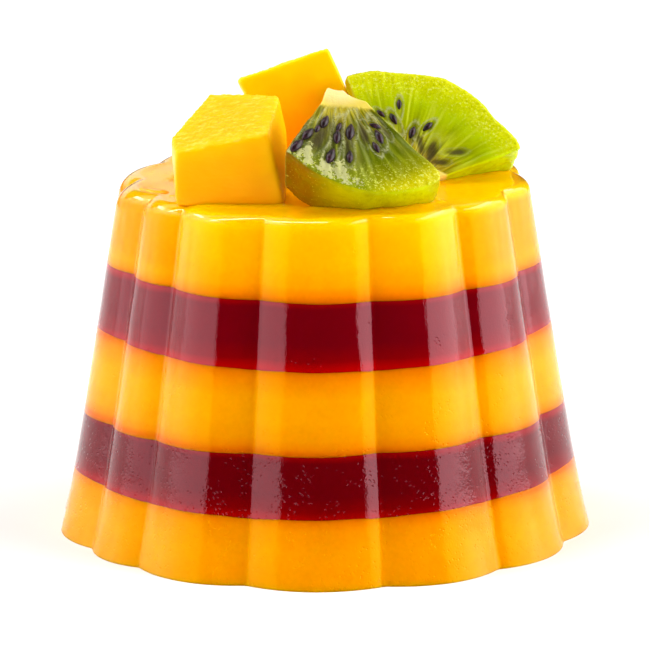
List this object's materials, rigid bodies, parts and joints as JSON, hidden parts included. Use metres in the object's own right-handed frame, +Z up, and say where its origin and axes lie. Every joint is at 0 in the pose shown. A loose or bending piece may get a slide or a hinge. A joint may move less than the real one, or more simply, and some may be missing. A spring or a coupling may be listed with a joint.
{
  "type": "moulded layered jelly dessert",
  "caption": "Fluted tower of set jelly in mango and berry layers, turned out of its mould, with mango chunks and cut kiwi lying on its flat top.",
  "frame": {"origin": "middle of the foot, on the surface that the jelly stands on", "axes": "+Z up, the way the jelly stands; -Y is the front, where the kiwi wedge lies; +X to the right"},
  "size_m": [0.091, 0.0916, 0.0809],
  "materials": {
    "mango_jelly": "wet, glossy, translucent set jelly",
    "berry_jelly": "wet, glossy, deep red set jelly",
    "mango_flesh": "smooth, moist cut fruit",
    "kiwi_flesh": "moist, translucent, fibrous cut fruit",
    "kiwi_seed": "smooth, glossy seed",
    "fruit_juice": "thin wet film"
  },
  "bodies": {
    "root": {"layer_1_mango": "mango_jelly", "layer_2_berry": "berry_jelly", "layer_3_mango": "mango_jelly", "layer_4_berry": "berry_jelly", "layer_5_mango": "mango_jelly", "mango_chunk_front": "mango_flesh", "mango_chunk_back": "mango_flesh", "kiwi_wedge_front": "kiwi_flesh", "kiwi_slice_back": "kiwi_flesh"}
  },
  "joints": []
}
